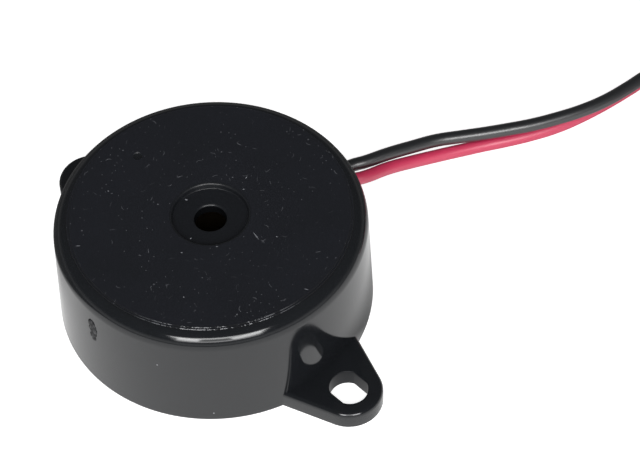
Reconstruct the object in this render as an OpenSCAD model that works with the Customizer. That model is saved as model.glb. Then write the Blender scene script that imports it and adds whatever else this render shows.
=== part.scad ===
// Self-drive piezo buzzer with two slotted ears and a pair of flying leads.
// Origin: centre of the underside, +Z up, ears along X, leads out towards +Y.
// All sizes in millimetres.

/* [Housing] */
// Diameter of the round body at its open lower end
body_d = 30; // [25:0.5:40]
// Height of the body from its underside to its top face
body_h = 11.8; // [9.8:0.2:18]
// How much smaller in radius the wall is at the top than at the bottom, to leave the mould
wall_draft = 0.3; // [0:0.1:0.5]
// Radius of the rounded rim between wall and top face
rim_r = 1.6; // [0.5:0.1:2]
// How far the textured field of the top face stands above the polished rim
field_step = 0.05; // [0.02:0.01:0.1]
// How far that field reaches out over the start of the rounded rim
field_reach = 0.1; // [0.05:0.05:0.3]
// Thickness of the side wall at its open end
wall_t = 1.35; // [1.1:0.05:2]
// Thickness of the top face
top_t = 1.6; // [1.2:0.1:2.2]
// Width of the ledge that the disc is bonded to
ledge_w = 1.65; // [1.2:0.05:2.5]
// Height of the air chamber between the disc and the top face
chamber_h = 2.0; // [1:0.1:3]
// Radius moulded into the corner of the air chamber
chamber_round = 0.8; // [0.2:0.1:0.9]

/* [Sound port] */
// Diameter of the shallow dish round the port
recess_d = 7.5; // [6:0.1:10]
// Depth of that dish
recess_depth = 0.6; // [0.5:0.1:0.9]
// Rounding between the dish's side and its floor
recess_round = 0.4; // [0.1:0.05:0.45]
// Diameter of the sound port
port_d = 3.0; // [2:0.1:4.5]
// Rounding of the port's upper edge
port_round = 0.4; // [0.1:0.05:0.5]

/* [Ears] */
// Distance from the wall to the middle of a mounting slot
slot_offset = 3; // [2.8:0.1:8]
// Thickness of an ear
ear_t = 1.8; // [1.4:0.1:3]
// Radius of an ear's round tip
ear_tip_r = 3.2; // [2.8:0.1:4]
// Width of an ear where it meets the wall
ear_root_w = 9.6; // [8:0.1:12]
// Radius of the rolled upper edge of an ear
ear_edge_r = 0.45; // [0.2:0.05:0.6]
// Width of a slot between its two flats
slot_w = 3.1; // [2.2:0.1:3.4]
// Length of a slot from end to end
slot_l = 3.7; // [3.5:0.1:4.2]
// Radius of a slot's two curved ends
slot_end_r = 1.7; // [1.7:0.05:1.8]

/* [Back cover] */
// Thickness of the cover plate
cover_t = 1.2; // [0.8:0.1:1.5]
// How far the cover lies above the rim that the buzzer stands on
cover_recess = 0.2; // [0.1:0.1:0.5]
// Width of the step in the wall that the cover seats against
cover_step = 0.5; // [0.3:0.05:0.6]
// Gap in the cover's skirt for the leads
skirt_gap = 5; // [4:0.5:8]

/* [Sounder] */
// Thickness of the brass plate
plate_t = 0.25; // [0.1:0.05:0.5]
// Thickness of the ceramic disc
ceramic_t = 0.25; // [0.1:0.05:0.5]
// Width of the bare brass round the ceramic disc
ceramic_margin = 3.5; // [3:0.1:5]
// Thickness of the adhesive under the ledge
glue_t = 0.15; // [0.1:0.05:0.3]

/* [Drive circuit] */
// Thickness of the circuit board
board_t = 1.0; // [0.6:0.1:1.6]
// Room under the board, where the leads come in
under_board_h = 2.4; // [2.2:0.1:4]
// Width of the spacer ring and of the cover's skirt
ring_w = 1.15; // [0.8:0.05:1.6]
// Diameter of the three jumper wires
jumper_d = 0.7; // [0.4:0.1:0.9]
// Bend radius of a jumper wire
jumper_bend = 0.7; // [0.5:0.05:0.8]
// Radius of a solder joint
solder_r = 0.75; // [0.5:0.05:0.9]
// Height of a solder joint
solder_h = 0.5; // [0.3:0.05:0.7]

/* [Leads] */
// Outside diameter of a lead
lead_d = 1.3; // [1.1:0.05:1.4]
// Diameter of a lead's tinned strands
core_d = 0.48; // [0.3:0.02:0.6]
// Height of the leads' centres where they leave the wall
lead_z = 2.8; // [2.2:0.1:4]
// Bend radius of the strands up into the board
core_bend = 0.7; // [0.5:0.1:1]
// Sideways distance of each solder hole from the middle of the board
lead_hole_x = 1.3; // [1:0.1:2]
// Length of the tinned tip
tip_l = 4; // [2:0.5:6]
// Turns of each lead in its coil
coil_turns = 2.2; // [2.1:0.05:2.3]

/* [Clearances] */
// Radial play of what fits inside the wall
bore_play = 0.1; // [0.05:0.05:0.2]
// Radial play of the brass plate, over that of the rings
plate_play = 0.05; // [0.02:0.01:0.1]
// Play round the cover's tongue and the leads in the notch
notch_play = 0.1; // [0.05:0.05:0.2]
// Play between solder and the wire in it
solder_play = 0.02; // [0.01:0.01:0.05]
// Play between a lead's strands and their hole in the board
board_hole_play = 0.11; // [0.05:0.01:0.2]

/* [Hidden] */

$fn = 96;
fine = 40;              // sides of small rounds
eps = 0.02;             // overlap of cuts past a face
far = 100;              // longer than anything here

// Body
body_r = body_d / 2;
top_r = body_r - wall_draft;
rim_z = body_h - field_step;
shoulder_z = rim_z - rim_r;
field_r = top_r - rim_r + field_reach;
bore_r = body_r - wall_t;
seat_r = bore_r + cover_step;
seat_z = cover_recess + cover_t;
chamber_r = bore_r - ledge_w;
chamber_top = body_h - top_t;
ledge_z = chamber_top - chamber_h;
recess_z = body_h - recess_depth;

// Stack inside, from the ledge down and from the cover up
ring_out_r = bore_r - bore_play;
ring_in_r = ring_out_r - ring_w;
plate_r = bore_r - bore_play - plate_play;
plate_z = ledge_z - glue_t - plate_t;
ceramic_r = plate_r - ceramic_margin;
ceramic_z = plate_z - ceramic_t;
board_z = seat_z + under_board_h;
board_top = board_z + board_t;

// Leads and notch
lead_r = lead_d / 2;
notch_w = 2 * lead_d + 3 * notch_play;
notch_top = lead_z + lead_r + notch_play / 2;
notch_round = 0.5;
tongue_top = lead_z - lead_r - notch_play / 5;
lead_hole_y = ring_in_r - 2.9;

// Ears: the straight sides run from the root to where they touch the round tip
ear_x = body_r + slot_offset;
root_x = sqrt(body_r * body_r - ear_root_w * ear_root_w / 4);
root_run = [root_x - ear_x, ear_root_w / 2];
touch_a = atan2(root_run.y, root_run.x) - acos(ear_tip_r / norm(root_run));
touch = [ear_x + ear_tip_r * cos(touch_a), ear_tip_r * sin(touch_a)];
side_dir = (touch - [root_x, ear_root_w / 2]) / norm(touch - [root_x, ear_root_w / 2]);
ear_start = [root_x, ear_root_w / 2] - 1.5 * side_dir;
ear_side_step = 0.03;   // how far the straight sides lie inside the tip's round

// Marks left by the mould
top_pit_x = -10;        // small pit in the top face, over the far ear
top_pit_d = 1.0;
top_pit_depth = 0.15;
gate_w = 1.1;           // scar of the side gate, opposite the leads
gate_h = 2.8;
gate_z = 7.6;
gate_stand = 0.08;

// Places on the board and the disc
transistor_at = [-4.8, 3.2];
base_resistor_at = [4.6, 4.4];
bias_resistor_at = [4.6, 1.0];
feedback_resistor_at = [-4.6, -0.8];
plate_pad = [5.4, -4.6];
main_pad = [-2.6, -7.2];
feedback_pad = [-8.4, -2.6];
plate_joint = [(ceramic_r + ring_in_r) / 2 * cos(20), -(ceramic_r + ring_in_r) / 2 * sin(20)];
main_joint = [2.2, -5.4];
feedback_joint = [-7.4, 3.6];
jumper_run_z = (board_top + ceramic_z) / 2 + 0.1;

// Route of each lead that isn't coiled: x, distance past the wall, height
black_route = [
    [-1.3, -4.2, 2.8], [-1.05, -3.0, 2.8], [-0.75, -1.7, 2.8], [-0.7, -0.4, 2.8],
    [-0.68, 0.8, 2.8], [-0.5, 2.1, 2.85], [-0.1, 3.5, 2.9], [0.45, 4.65, 2.9],
    [1.3, 7.15, 2.75], [2.15, 9.65, 2.4], [3.1, 12.1, 2.1], [4.4, 14.15, 2.0],
    [5.8, 16.15, 2.0], [7.15, 18.2, 2.0], [8.45, 20.3, 2.0], [9.6, 22.55, 2.0],
    [10.65, 25.0, 1.98], [11.45, 27.65, 1.96], [11.95, 30.7, 1.96], [12.2, 33.0, 1.97],
    [12.7, 35.6, 1.98], [13.55, 38.3, 2.0]
];
red_route = [
    [1.3, -4.2, 2.8], [1.05, -3.0, 2.8], [0.75, -1.7, 2.8], [0.7, -0.4, 2.8],
    [0.72, 0.8, 2.8], [0.98, 2.05, 2.72], [1.55, 3.5, 2.5], [2.15, 6.3, 1.98],
    [2.95, 8.8, 1.48], [3.9, 11.25, 1.07], [4.95, 13.6, 0.8], [6.1, 15.85, 0.67],
    [7.35, 18.0, 0.65], [8.55, 20.25, 0.65], [9.6, 22.65, 0.65], [10.4, 25.35, 0.65],
    [11.0, 28.25, 0.65], [11.45, 31.4, 0.65], [11.7, 33.6, 0.65], [12.15, 35.9, 0.65],
    [13.2, 38.4, 0.65]
];
black_rest_z = 2.0;     // height at which the black lead lies on the red one
red_rest_z = 0.65;      // height at which the red lead lies on the surface

// Coil of each lead: a flat spiral, wound clockwise inwards from the entry
coil_at = [24.8, 38.2 + body_r];
coil_step = 1.35;
coil_mid_r = 7.15;
coil_first_r = coil_mid_r + coil_turns * coil_step / 2;
coil_last_r = coil_mid_r - coil_turns * coil_step / 2;
coil_out_r = coil_first_r + lead_r + 0.05;
coil_in_r = coil_last_r - lead_r;
entry_a = 135;
entry_run = 5.2;
entry_dir = [sin(entry_a), -cos(entry_a), 0];
entry_start = [coil_first_r * cos(entry_a), coil_first_r * sin(entry_a), 0] - entry_run * entry_dir;
free_bend = 3.5;
free_turn = 110;
free_a = entry_a - 360 * coil_turns + 720;
free_end_a = free_a - free_turn;
free_dir = [sin(free_end_a), -cos(free_end_a), 0];
free_centre = (coil_last_r - free_bend) * [cos(free_a), sin(free_a), 0];
free_end = free_centre + free_bend * [cos(free_end_a), sin(free_end_a), 0];
coil_split_z = 1.32;    // where the black coil's outer shape rests on the red one's
coil_edge = 0.02;       // how far a lead's lowest line lies outside its coil's flat face

// Sides of a swept lead
lead_sides = 8;

// ---- Shapes shared by several parts ----

// A tube from z0 up with an inner and an outer radius
module ring(r_in, r_out, z0, h) {
    translate([0, 0, z0])
        rotate_extrude()
            translate([r_in, 0])
                square([r_out - r_in, h]);
}

// A round bar along a direction that lies flat
module bar(from, dir, length, d) {
    translate(from)
        rotate([0, 0, atan2(dir.y, dir.x)])
            rotate([0, 90, 0])
                cylinder(d = d, h = length, $fn = fine);
}

// A square with its two upper corners rounded, standing on the X axis
module arched_outline(w, h, r) {
    translate([-w / 2, 0])
        square([w, h - r]);
    translate([-w / 2 + r, 0])
        square([w - 2 * r, h]);
    for (side = [-1, 1])
        translate([side * (w / 2 - r), h - r])
            circle(r, $fn = fine);
}

// ---- Housing ----

// Half section of the outside: drafted wall, rounded rim, raised field on the top
module body_outline() {
    polygon([[0, 0], [body_r, 0], [top_r, shoulder_z], [0, shoulder_z]]);
    translate([0, shoulder_z - eps])
        square([top_r - rim_r, rim_r + eps]);
    translate([top_r - rim_r, shoulder_z])
        circle(rim_r);
    translate([0, shoulder_z])
        square([field_r, body_h - shoulder_z]);
}

// Half section of the hollow: cover seat, bore and air chamber
module hollow_outline() {
    translate([0, -1])
        square([seat_r, seat_z + 1]);
    square([bore_r, ledge_z]);
    square([chamber_r, chamber_top - chamber_round]);
    square([chamber_r - chamber_round, chamber_top]);
    translate([chamber_r - chamber_round, chamber_top - chamber_round])
        circle(chamber_round, $fn = fine);
}

// Half section of the dish, the port and the port's rounded edge
module port_outline() {
    translate([0, recess_z + recess_round])
        square([recess_d / 2, recess_depth + 1]);
    translate([0, recess_z])
        square([recess_d / 2 - recess_round, recess_depth + 1]);
    translate([recess_d / 2 - recess_round, recess_z + recess_round])
        circle(recess_round, $fn = fine);
    translate([0, chamber_top - 1])
        square([port_d / 2, top_t + 1]);
    difference() {
        translate([0, recess_z - port_round])
            square([port_d / 2 + port_round, port_round + eps]);
        translate([port_d / 2 + port_round, recess_z - port_round])
            circle(port_round, $fn = fine);
    }
}

// Half section of an ear's edge, reaching from its middle line out to its side
module ear_profile(reach) {
    square([reach, ear_t - ear_edge_r]);
    square([reach - ear_edge_r, ear_t]);
    translate([reach - ear_edge_r, ear_t - ear_edge_r])
        circle(ear_edge_r, $fn = fine);
}

// One ear: a plate with a rolled upper edge, flush with the underside
module ear() {
    side_l = norm(touch - ear_start);
    fill_w = 2 * (ear_tip_r - 2 * ear_edge_r);
    translate([ear_x, 0, 0])
        rotate_extrude()
            ear_profile(ear_tip_r);
    for (side = [0, 1])
        mirror([0, side, 0])
            translate([touch.x, touch.y, 0])
                rotate([0, 0, atan2(side_dir.y, side_dir.x) + 90])
                    rotate([90, 0, 0])
                        translate([-ear_tip_r, 0, -side_l])
                            linear_extrude(side_l)
                                ear_profile(ear_tip_r - ear_side_step);
    translate([ear_start.x, -fill_w / 2, 0])
        cube([ear_x - ear_start.x, fill_w, ear_t]);
}

// The slot: two flats joined by two shallow curved ends
module ear_slot() {
    end_x = slot_l / 2 - slot_end_r;
    translate([ear_x, 0, -1])
        intersection() {
            union() {
                for (side = [-1, 1])
                    translate([side * end_x, 0, 0])
                        cylinder(r = slot_end_r, h = ear_t + 2);
                translate([-end_x, -slot_end_r, 0])
                    cube([2 * end_x, 2 * slot_end_r, ear_t + 2]);
            }
            translate([-slot_l, -slot_w / 2, 0])
                cube([2 * slot_l, slot_w, ear_t + 2]);
        }
}

// Notch in the wall for the leads, open at the underside
module lead_notch() {
    translate([0, body_r + 1, -1])
        rotate([90, 0, 0])
            linear_extrude(wall_t + 2.5)
                arched_outline(notch_w, notch_top + 1, notch_round);
}

// Scar of the side gate on the wall
module gate_scar() {
    intersection() {
        translate([-gate_w / 2, -body_r - 1, gate_z - gate_h / 2])
            cube([gate_w, wall_t + 1, gate_h]);
        cylinder(h = shoulder_z, r1 = body_r + gate_stand, r2 = top_r + gate_stand);
    }
}

module housing() {
    color("#1c1c1f")
        difference() {
            union() {
                rotate_extrude()
                    body_outline();
                ear();
                mirror([1, 0, 0])
                    ear();
                gate_scar();
            }
            rotate_extrude()
                hollow_outline();
            rotate_extrude()
                port_outline();
            ear_slot();
            mirror([1, 0, 0])
                ear_slot();
            lead_notch();
            translate([top_pit_x, 0, body_h - top_pit_depth])
                cylinder(d = top_pit_d, h = 1, $fn = fine);
        }
}

// ---- Back cover, with a skirt under the board and a tongue that closes the notch ----

module back_cover() {
    tongue_w = notch_w - 2 * notch_play;
    color("#202023") {
        difference() {
            union() {
                cover_plate();
                ring(ring_in_r, ring_out_r, seat_z - eps, under_board_h + eps);
            }
            translate([-skirt_gap / 2, 0, seat_z])
                cube([skirt_gap, far, under_board_h + 1]);
        }
        intersection() {
            translate([-tongue_w / 2, ring_in_r, cover_recess])
                cube([tongue_w, far, tongue_top - cover_recess]);
            cylinder(h = body_h, r = body_r - wall_draft);
        }
    }
}

module cover_plate() {
    translate([0, 0, cover_recess])
        cylinder(r = seat_r - bore_play, h = cover_t);
}

module spacer_ring() {
    color("#2a2a2d")
        ring(ring_in_r, ring_out_r, board_top, plate_z - board_top);
}

// ---- Sounder ----

module adhesive_ring() {
    color("#e6e4dc")
        ring(chamber_r + bore_play, plate_r - bore_play, ledge_z - glue_t, glue_t);
}

module diaphragm_plate() {
    color("#c9a75a")
        translate([0, 0, plate_z])
            cylinder(r = plate_r, h = plate_t);
}

module ceramic_disc() {
    color("#d9d6cc")
        translate([0, 0, ceramic_z])
            cylinder(r = ceramic_r, h = ceramic_t);
}

// ---- Drive circuit ----

module circuit_board() {
    color("#2f5d3a")
        translate([0, 0, board_z])
            difference() {
                cylinder(r = ring_out_r, h = board_t);
                for (side = [-1, 1])
                    translate([side * lead_hole_x, lead_hole_y, -1])
                        cylinder(d = core_d + 2 * board_hole_play, h = board_t + 2, $fn = fine);
            }
}

// A small moulded package with three bent legs
module transistor() {
    body = [2.9, 1.3, 1.0];
    lift = 0.1;
    leg = [0.4, 0.55, 0.15];
    color("#1a1a1a")
        translate([transistor_at.x, transistor_at.y, board_top]) {
            translate([-body.x / 2, -body.y / 2, lift])
                cube(body);
            for (place = [[-0.95, -1], [0.95, -1], [0, 1]])
                translate([place.x - leg.x / 2, place.y * body.y / 2, 0]) {
                    translate([0, place.y > 0 ? 0 : -leg.y, 0])
                        cube(leg);
                    translate([0, place.y > 0 ? -0.1 : -leg.z, 0])
                        cube([leg.x, leg.z + 0.1, 0.5]);
                }
        }
}

// A chip resistor: ceramic body with a metal cap over each end
module chip_resistor(at) {
    body = [3.1, 1.55, 0.5];
    cap = [0.5, 1.6, 0.56];
    translate([at.x, at.y, board_top]) {
        translate([-body.x / 2, -body.y / 2, 0.03])
            cube(body);
        for (side = [-1, 1])
            translate([side * (body.x - cap.x) / 2 + side * 0.03 - cap.x / 2, -cap.y / 2, 0])
                cube(cap);
    }
}

module base_resistor() {
    color("#222226")
        chip_resistor(base_resistor_at);
}

module bias_resistor() {
    color("#222226")
        chip_resistor(bias_resistor_at);
}

module feedback_resistor() {
    color("#222226")
        chip_resistor(feedback_resistor_at);
}

// A wire that rises from the board, runs level and rises again to the disc
module jumper(from, to, top_z) {
    run = to - from;
    bend_low = jumper_run_z - jumper_bend;
    bend_high = jumper_run_z + jumper_bend;
    translate([from.x, from.y, 0])
        rotate([0, 0, atan2(run.y, run.x)]) {
            translate([0, 0, board_top])
                cylinder(d = jumper_d, h = bend_low - board_top, $fn = fine);
            translate([jumper_bend, 0, bend_low])
                rotate([90, 0, 0])
                    rotate_extrude(angle = 90, start = 90)
                        translate([jumper_bend, 0])
                            circle(d = jumper_d, $fn = fine);
            translate([jumper_bend, 0, jumper_run_z])
                rotate([0, 90, 0])
                    cylinder(d = jumper_d, h = norm(run) - 2 * jumper_bend, $fn = fine);
            translate([norm(run) - jumper_bend, 0, bend_high])
                rotate([90, 0, 0])
                    rotate_extrude(angle = 90, start = 270)
                        translate([jumper_bend, 0])
                            circle(d = jumper_d, $fn = fine);
            translate([norm(run), 0, bend_high])
                cylinder(d = jumper_d, h = top_z - bend_high, $fn = fine);
        }
}

module plate_wire() {
    color("#d8d8d4")
        jumper(plate_pad, plate_joint, plate_z);
}

module main_wire() {
    color("#c8312e")
        jumper(main_pad, main_joint, ceramic_z);
}

module feedback_wire() {
    color("#2f6fb0")
        jumper(feedback_pad, feedback_joint, ceramic_z);
}

// A domed joint with room for the wire in it, rising from z = 0
module solder_joint(wire_d) {
    ball_r = (solder_r * solder_r + solder_h * solder_h) / (2 * solder_h);
    difference() {
        intersection() {
            translate([0, 0, solder_h - ball_r])
                sphere(ball_r, $fn = fine);
            translate([-solder_r, -solder_r, 0])
                cube([2 * solder_r, 2 * solder_r, solder_h + 1]);
        }
        translate([0, 0, -1])
            cylinder(d = wire_d + 2 * solder_play, h = solder_h + 2, $fn = fine);
    }
}

module disc_solder() {
    color("#c4c7ca")
        for (joint = [[plate_joint, plate_z], [main_joint, ceramic_z], [feedback_joint, ceramic_z]])
            translate([joint[0].x, joint[0].y, joint[1]])
                mirror([0, 0, 1])
                    solder_joint(jumper_d);
}

module board_solder() {
    color("#c4c7ca") {
        for (pad = [plate_pad, main_pad, feedback_pad])
            translate([pad.x, pad.y, board_top])
                solder_joint(jumper_d);
        for (side = [-1, 1])
            translate([side * lead_hole_x, lead_hole_y, board_top])
                solder_joint(core_d);
    }
}

// ---- Leads ----

function unit(v) = v / norm(v);

// Direction of a route at one of its points
function route_dir(p, i, last_dir) =
    i == 0 ? [0, 1, 0]
    : i == len(p) - 1 ? last_dir
    : unit(p[i + 1] - p[i - 1]);

// The corners of one ring of a swept lead
function lead_ring(at, dir) =
    let (side = unit(cross(dir, [0, 0, 1])), up = cross(side, dir))
    [for (k = [0 : lead_sides - 1])
        at + lead_r * (cos(360 * k / lead_sides) * side + sin(360 * k / lead_sides) * up)];

// A lead swept along its route, ending flat against the start of its coil
module swept_lead(route, rest_z) {
    start = [for (p = route) [p.x, p.y + body_r, p.z]];
    path = concat(start, [[coil_at.x, coil_at.y, rest_z] + entry_start]);
    n = len(path);
    rings = [for (i = [0 : n - 1]) each lead_ring(path[i], route_dir(path, i, entry_dir))];
    sides = [
        for (i = [0 : n - 2], k = [0 : lead_sides - 1])
            let (next = (k + 1) % lead_sides)
            [i * lead_sides + k, i * lead_sides + next,
             (i + 1) * lead_sides + next, (i + 1) * lead_sides + k]
    ];
    start_cap = [for (k = [lead_sides - 1 : -1 : 0]) k];
    end_cap = [for (k = [0 : lead_sides - 1]) (n - 1) * lead_sides + k];
    polyhedron(rings, concat(sides, [start_cap, end_cap]));
}

// The outer shape of a lead's coil, with its straight run in and its free end
module lead_coil(rest_z, from_z, to_z) {
    translate([coil_at.x, coil_at.y, 0]) {
        ring(coil_in_r, coil_out_r, from_z, to_z - from_z);
        bar([entry_start.x, entry_start.y, rest_z], entry_dir, entry_run, lead_d);
        translate([free_centre.x, free_centre.y, rest_z])
            rotate_extrude(angle = free_turn, start = free_end_a)
                translate([free_bend, 0])
                    circle(d = lead_d, $fn = fine);
    }
}

// The tinned strands at a lead's free end
module lead_tip(rest_z) {
    bar([coil_at.x, coil_at.y, rest_z] + free_end, free_dir, tip_l, core_d);
}

// The tinned strands at the board: in from the insulation, then up through the board
module lead_tail(side) {
    start_y = body_r + black_route[0].y;
    bend_y = lead_hole_y + core_bend;
    translate([side * lead_hole_x, 0, 0]) {
        bar([0, start_y, lead_z], [0, -1], start_y - bend_y, core_d);
        translate([0, bend_y, lead_z + core_bend])
            rotate([90, 0, 90])
                rotate_extrude(angle = 90, start = 180)
                    translate([core_bend, 0])
                        circle(d = core_d, $fn = fine);
        translate([0, lead_hole_y, lead_z + core_bend])
            cylinder(d = core_d, h = board_top + solder_h + 0.1 - lead_z - core_bend, $fn = fine);
    }
}

module black_lead() {
    color("#26262a")
        swept_lead(black_route, black_rest_z);
}

module red_lead() {
    color("#cf2f52")
        swept_lead(red_route, red_rest_z);
}

module red_lead_coil() {
    color("#cf2f52")
        lead_coil(red_rest_z, coil_edge, coil_split_z);
}

module black_lead_coil() {
    color("#26262a")
        lead_coil(black_rest_z, coil_split_z, black_rest_z + lead_r - coil_edge);
}

module black_lead_tail() {
    color("#c9cacc")
        lead_tail(-1);
}

module red_lead_tail() {
    color("#c9cacc")
        lead_tail(1);
}

module black_lead_tip() {
    color("#c9cacc")
        lead_tip(black_rest_z);
}

module red_lead_tip() {
    color("#c9cacc")
        lead_tip(red_rest_z);
}

housing();
back_cover();
spacer_ring();
adhesive_ring();
diaphragm_plate();
ceramic_disc();
circuit_board();
transistor();
base_resistor();
bias_resistor();
feedback_resistor();
plate_wire();
main_wire();
feedback_wire();
disc_solder();
board_solder();
black_lead();
red_lead();
black_lead_coil();
red_lead_coil();
black_lead_tail();
red_lead_tail();
black_lead_tip();
red_lead_tip();
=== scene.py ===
"""Studio scene of a piezo buzzer with two slotted ears and a pair of flying leads."""
import math

import bpy
from mathutils import Matrix


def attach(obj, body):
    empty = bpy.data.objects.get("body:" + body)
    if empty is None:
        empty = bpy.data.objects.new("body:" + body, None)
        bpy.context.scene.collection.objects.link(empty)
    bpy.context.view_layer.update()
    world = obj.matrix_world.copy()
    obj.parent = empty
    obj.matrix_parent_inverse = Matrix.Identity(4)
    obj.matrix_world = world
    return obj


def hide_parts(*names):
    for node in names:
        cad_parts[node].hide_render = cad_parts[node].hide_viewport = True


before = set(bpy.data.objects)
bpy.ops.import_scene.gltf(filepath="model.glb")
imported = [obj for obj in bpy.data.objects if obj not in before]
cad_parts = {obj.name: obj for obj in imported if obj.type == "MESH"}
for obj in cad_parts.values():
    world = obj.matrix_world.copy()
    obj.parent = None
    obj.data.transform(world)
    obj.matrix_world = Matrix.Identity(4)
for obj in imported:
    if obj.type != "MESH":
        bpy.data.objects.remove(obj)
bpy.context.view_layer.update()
bpy.context.scene.view_settings.view_transform = "Standard"

MM = 0.001
# in mm: points nearer than MERGE are one; what a boolean leaves thinner than SLIVER is closed up
MERGE, SLIVER = 0.0005, 0.0012


# ---- Camera ----

def place_camera():
    """A long lens a quarter of a metre away, over the right-hand ear."""
    aim = (1.5 * MM, 12.4 * MM, 0)
    distance = 268.3 * MM
    azimuth, elevation, roll = math.radians(-42.63), math.radians(51.26), math.radians(-2.33)
    data = bpy.data.cameras.new("camera")
    data.lens = 154.4
    data.sensor_width = 36
    data.clip_start = 0.01
    camera = bpy.data.objects.new("camera", data)
    flat = distance * math.cos(elevation)
    camera.location = (
        aim[0] + flat * math.cos(azimuth),
        aim[1] + flat * math.sin(azimuth),
        aim[2] + distance * math.sin(elevation),
    )
    turn = (
        Matrix.Rotation(azimuth + math.pi / 2, 3, "Z")
        @ Matrix.Rotation(math.pi / 2 - elevation, 3, "X")
        @ Matrix.Rotation(roll, 3, "Z")
    )
    camera.rotation_euler = turn.to_euler()
    bpy.context.scene.collection.objects.link(camera)
    bpy.context.scene.camera = camera


place_camera()

# ---- Leads: the routes' points are x, distance past the wall and height, in mm ----

LEAD_D = 1.3
BODY_R = 15.0
BLACK_ROUTE = [
    (-1.3, -4.2, 2.8), (-1.05, -3.0, 2.8), (-0.75, -1.7, 2.8), (-0.7, -0.4, 2.8),
    (-0.68, 0.8, 2.8), (-0.5, 2.1, 2.85), (-0.1, 3.5, 2.9), (0.45, 4.65, 2.9),
    (1.3, 7.15, 2.75), (2.15, 9.65, 2.4), (3.1, 12.1, 2.1), (4.4, 14.15, 2.0),
    (5.8, 16.15, 2.0), (7.15, 18.2, 2.0), (8.45, 20.3, 2.0), (9.6, 22.55, 2.0),
    (10.65, 25.0, 1.98), (11.45, 27.65, 1.96), (11.95, 30.7, 1.96), (12.2, 33.0, 1.97),
    (12.7, 35.6, 1.98), (13.55, 38.3, 2.0),
]
RED_ROUTE = [
    (1.3, -4.2, 2.8), (1.05, -3.0, 2.8), (0.75, -1.7, 2.8), (0.7, -0.4, 2.8),
    (0.72, 0.8, 2.8), (0.98, 2.05, 2.72), (1.55, 3.5, 2.5), (2.15, 6.3, 1.98),
    (2.95, 8.8, 1.48), (3.9, 11.25, 1.07), (4.95, 13.6, 0.8), (6.1, 15.85, 0.67),
    (7.35, 18.0, 0.65), (8.55, 20.25, 0.65), (9.6, 22.65, 0.65), (10.4, 25.35, 0.65),
    (11.0, 28.25, 0.65), (11.45, 31.4, 0.65), (11.7, 33.6, 0.65), (12.15, 35.9, 0.65),
    (13.2, 38.4, 0.65),
]
BLACK_REST_Z, RED_REST_Z = 2.0, 0.65
COIL_AT = (24.8, 53.2)
COIL_TURNS, COIL_STEP, COIL_MID_R, TURN_POINTS = 2.2, 1.35, 7.15, 24
ENTRY_A, ENTRY_RUN = 135, 5.2
FREE_BEND, FREE_TURN, FREE_POINTS = 3.5, 110, 8
FIRST_R = COIL_MID_R + COIL_TURNS * COIL_STEP / 2
LAST_R = COIL_MID_R - COIL_TURNS * COIL_STEP / 2
FREE_A = math.radians(ENTRY_A - 360 * COIL_TURNS)
FREE_CENTRE = (
    COIL_AT[0] + (LAST_R - FREE_BEND) * math.cos(FREE_A),
    COIL_AT[1] + (LAST_R - FREE_BEND) * math.sin(FREE_A),
)


def lead_points(route, rest_z):
    """The centreline in metres: the chosen route, the turns of the coil, then the free end."""
    points = [(x, y + BODY_R, z) for x, y, z in route]
    a = math.radians(ENTRY_A)
    ux, uy = math.sin(a), -math.cos(a)
    tx, ty = COIL_AT[0] + FIRST_R * math.cos(a), COIL_AT[1] + FIRST_R * math.sin(a)
    for back in (1.0, 0.5):
        points.append((tx - back * ENTRY_RUN * ux, ty - back * ENTRY_RUN * uy, rest_z))
    count = round(COIL_TURNS * TURN_POINTS)
    for i in range(count + 1):
        share = i / count
        r = FIRST_R - share * COIL_TURNS * COIL_STEP
        turn = a - share * COIL_TURNS * 2 * math.pi
        points.append((COIL_AT[0] + r * math.cos(turn), COIL_AT[1] + r * math.sin(turn), rest_z))
    for i in range(1, FREE_POINTS + 1):
        b = FREE_A - math.radians(FREE_TURN) * i / FREE_POINTS
        points.append((
            FREE_CENTRE[0] + FREE_BEND * math.cos(b),
            FREE_CENTRE[1] + FREE_BEND * math.sin(b),
            rest_z,
        ))
    return [(x * MM, y * MM, z * MM) for x, y, z in points]


def insulation(name, points):
    """A round extruded tube along the points."""
    data = bpy.data.curves.new(name, "CURVE")
    data.dimensions = "3D"
    data.bevel_depth = LEAD_D / 2 * MM
    data.bevel_resolution = 8
    data.use_fill_caps = True
    data.resolution_u = 8
    spline = data.splines.new("BEZIER")
    spline.bezier_points.add(len(points) - 1)
    for point, at in zip(spline.bezier_points, points):
        point.co = at
        point.handle_left_type = point.handle_right_type = "AUTO"
    piece = bpy.data.objects.new(name, data)
    bpy.context.scene.collection.objects.link(piece)
    return piece


# ---- Making meshes ----

def start_edit(piece, mode="EDGE"):
    """Opens one piece for editing with nothing selected."""
    bpy.ops.object.select_all(action="DESELECT")
    piece.select_set(True)
    bpy.context.view_layer.objects.active = piece
    bpy.ops.object.mode_set(mode="EDIT")
    bpy.ops.mesh.select_mode(type=mode)
    bpy.ops.mesh.select_all(action="DESELECT")


def pick(piece, kind, test):
    """Selects the vertices, edges (by middle and run) or faces (by middle and normal) of a test."""
    bpy.ops.mesh.select_mode(type=kind)
    bpy.ops.mesh.select_all(action="DESELECT")
    bpy.ops.object.mode_set(mode="OBJECT")
    mesh = piece.data
    at = [v.co for v in mesh.vertices]
    if kind == "FACE":
        for face in mesh.polygons:
            face.select = test(face.center, face.normal)
    elif kind == "EDGE":
        for edge in mesh.edges:
            a, b = edge.vertices
            edge.select = test((at[a] + at[b]) / 2, at[b] - at[a])
    else:
        for vertex in mesh.vertices:
            vertex.select = test(vertex.co)
    bpy.ops.object.mode_set(mode="EDIT")


def end_edit():
    """Merges doubles, turns every face outwards and closes the edit."""
    bpy.ops.mesh.select_all(action="SELECT")
    bpy.ops.mesh.remove_doubles(threshold=MERGE * MM)
    bpy.ops.mesh.normals_make_consistent(inside=False)
    bpy.ops.object.mode_set(mode="OBJECT")


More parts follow.
